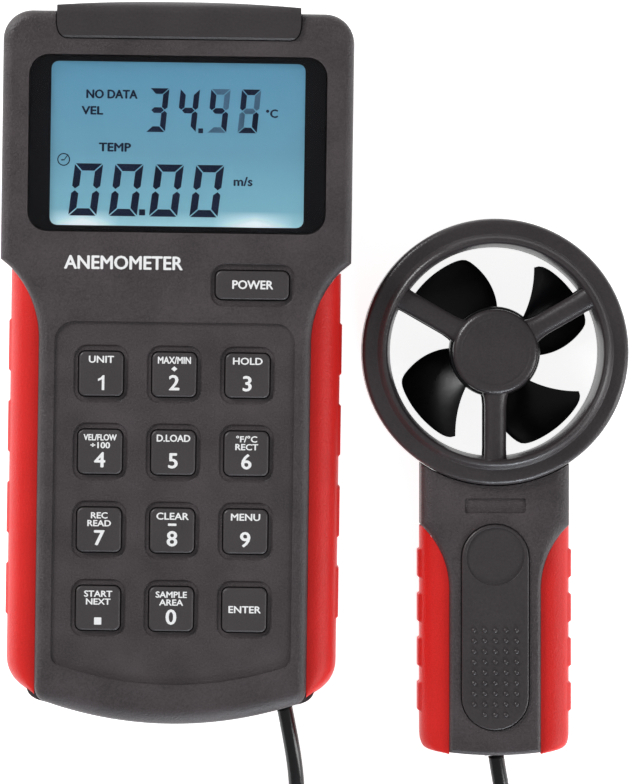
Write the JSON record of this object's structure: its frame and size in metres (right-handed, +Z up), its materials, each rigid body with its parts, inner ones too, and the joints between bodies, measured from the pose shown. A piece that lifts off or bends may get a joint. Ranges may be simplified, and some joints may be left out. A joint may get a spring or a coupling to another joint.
{
  "type": "vane anemometer",
  "caption": "Handheld display unit with screen, keypad and red side grips, joined by a cable to a vane sensor with a ringed rotor on a gripped handle.",
  "frame": {"origin": "under the middle of the two housings, on the surface that they lie on", "axes": "+Z up out of the display face, +Y towards the display unit's top end, +X towards the sensor"},
  "size_m": [0.1572, 0.2614, 0.0367],
  "materials": {
    "charcoal_case": "fine moulded texture, satin charcoal brown",
    "smooth_case": "smooth satin charcoal brown",
    "red_grip": "soft satin red",
    "key_plastic": "smooth dark keys with white figures",
    "rotor_plastic": "smooth black",
    "window": "clear flat window",
    "mask_black": "printed black border",
    "lcd": "backlit blue liquid crystal panel with dark figures",
    "light_guide": "milky light guide",
    "circuit_board": "green solder mask",
    "silicone": "grey silicone",
    "steel": "plated steel",
    "chip_black": "moulded epoxy",
    "battery_wrap": "plain printed sleeve",
    "lead_red": "red wire insulation",
    "lead_black": "black wire insulation",
    "cable_sheath": "glossy black round sheath",
    "strap": "black hook and loop strap"
  },
  "bodies": {
    "meter": {"front_cover": "charcoal_case", "rear_cover": "charcoal_case", "case_screw_1": "steel", "case_screw_2": "steel", "case_screw_3": "steel", "case_screw_4": "steel", "battery": "battery_wrap", "battery_snap": "lead_black", "battery_lead_red": "lead_red", "battery_lead_black": "lead_black", "grip_left": "red_grip", "grip_right": "red_grip", "port_hinge_pin": "steel", "display_mask": "mask_black", "display_window": "window", "lcd_panel": "lcd", "backlight_panel": "light_guide", "zebra_strip": "silicone", "main_board": "circuit_board", "microcontroller": "chip_black", "usb_socket": "steel", "keypad_mat": "silicone", "meter_grommet": "rotor_plastic", "cord_meter_run": "cable_sheath", "cord_sensor_run": "cable_sheath", "cord_coil": "cable_sheath", "cord_tie": "strap"},
    "port_cover": {"port_cover": "smooth_case"},
    "battery_door": {"battery_door": "charcoal_case"},
    "key_power": {"key_power": "key_plastic"},
    "key_1": {"key_1": "key_plastic"},
    "key_2": {"key_2": "key_plastic"},
    "key_3": {"key_3": "key_plastic"},
    "key_4": {"key_4": "key_plastic"},
    "key_5": {"key_5": "key_plastic"},
    "key_6": {"key_6": "key_plastic"},
    "key_7": {"key_7": "key_plastic"},
    "key_8": {"key_8": "key_plastic"},
    "key_9": {"key_9": "key_plastic"},
    "key_0": {"key_0": "key_plastic"},
    "key_point": {"key_point": "key_plastic"},
    "key_enter": {"key_enter": "key_plastic"},
    "sensor": {"head_front": "smooth_case", "head_rear": "smooth_case", "handle_front": "charcoal_case", "handle_rear": "charcoal_case", "thumb_pad": "smooth_case", "sensor_grip_left": "red_grip", "sensor_grip_right": "red_grip", "bearing_front": "steel", "bearing_rear": "steel", "pickup_sensor": "chip_black", "thermistor": "chip_black", "sensor_board": "circuit_board", "handle_screw_1": "steel", "handle_screw_2": "steel", "sensor_grommet": "rotor_plastic"},
    "rotor": {"rotor": "rotor_plastic", "rotor_shaft": "steel", "rotor_magnet": "steel"}
  },
  "joints": [
    {"name": "port_cover_hinge", "type": "hinge", "parent": "meter", "child": "port_cover", "pos_m": [-0.03497, 0.09277, 0.0088], "axis": [-1, 0, 0], "range_deg": [0, 100]},
    {"name": "battery_door_slide", "type": "slide", "parent": "meter", "child": "battery_door", "axis": [0, -1, 0], "range_m": [0, 0.062]},
    {"name": "key_power_press", "type": "slide", "parent": "meter", "child": "key_power", "axis": [0, 0, -1], "range_m": [0, 0.0008], "stiffness_N_per_m": 200, "springref_m": -0.0005},
    {"name": "key_1_press", "type": "slide", "parent": "meter", "child": "key_1", "axis": [0, 0, -1], "range_m": [0, 0.0008], "stiffness_N_per_m": 200, "springref_m": -0.0005},
    {"name": "key_2_press", "type": "slide", "parent": "meter", "child": "key_2", "axis": [0, 0, -1], "range_m": [0, 0.0008], "stiffness_N_per_m": 200, "springref_m": -0.0005},
    {"name": "key_3_press", "type": "slide", "parent": "meter", "child": "key_3", "axis": [0, 0, -1], "range_m": [0, 0.0008], "stiffness_N_per_m": 200, "springref_m": -0.0005},
    {"name": "key_4_press", "type": "slide", "parent": "meter", "child": "key_4", "axis": [0, 0, -1], "range_m": [0, 0.0008], "stiffness_N_per_m": 200, "springref_m": -0.0005},
    {"name": "key_5_press", "type": "slide", "parent": "meter", "child": "key_5", "axis": [0, 0, -1], "range_m": [0, 0.0008], "stiffness_N_per_m": 200, "springref_m": -0.0005},
    {"name": "key_6_press", "type": "slide", "parent": "meter", "child": "key_6", "axis": [0, 0, -1], "range_m": [0, 0.0008], "stiffness_N_per_m": 200, "springref_m": -0.0005},
    {"name": "key_7_press", "type": "slide", "parent": "meter", "child": "key_7", "axis": [0, 0, -1], "range_m": [0, 0.0008], "stiffness_N_per_m": 200, "springref_m": -0.0005},
    {"name": "key_8_press", "type": "slide", "parent": "meter", "child": "key_8", "axis": [0, 0, -1], "range_m": [0, 0.0008], "stiffness_N_per_m": 200, "springref_m": -0.0005},
    {"name": "key_9_press", "type": "slide", "parent": "meter", "child": "key_9", "axis": [0, 0, -1], "range_m": [0, 0.0008], "stiffness_N_per_m": 200, "springref_m": -0.0005},
    {"name": "key_0_press", "type": "slide", "parent": "meter", "child": "key_0", "axis": [0, 0, -1], "range_m": [0, 0.0008], "stiffness_N_per_m": 200, "springref_m": -0.0005},
    {"name": "key_point_press", "type": "slide", "parent": "meter", "child": "key_point", "axis": [0, 0, -1], "range_m": [0, 0.0008], "stiffness_N_per_m": 200, "springref_m": -0.0005},
    {"name": "key_enter_press", "type": "slide", "parent": "meter", "child": "key_enter", "axis": [0, 0, -1], "range_m": [0, 0.0008], "stiffness_N_per_m": 200, "springref_m": -0.0005},
    {"name": "sensor_lift", "type": "slide", "parent": "meter", "child": "sensor", "axis": [0, 0, 1], "range_m": [0, 0.06]},
    {"name": "rotor_spin", "type": "hinge", "parent": "sensor", "child": "rotor", "pos_m": [0.04523, 0.00804, 0.0149], "axis": [0, 0, 1], "continuous": true}
  ]
}
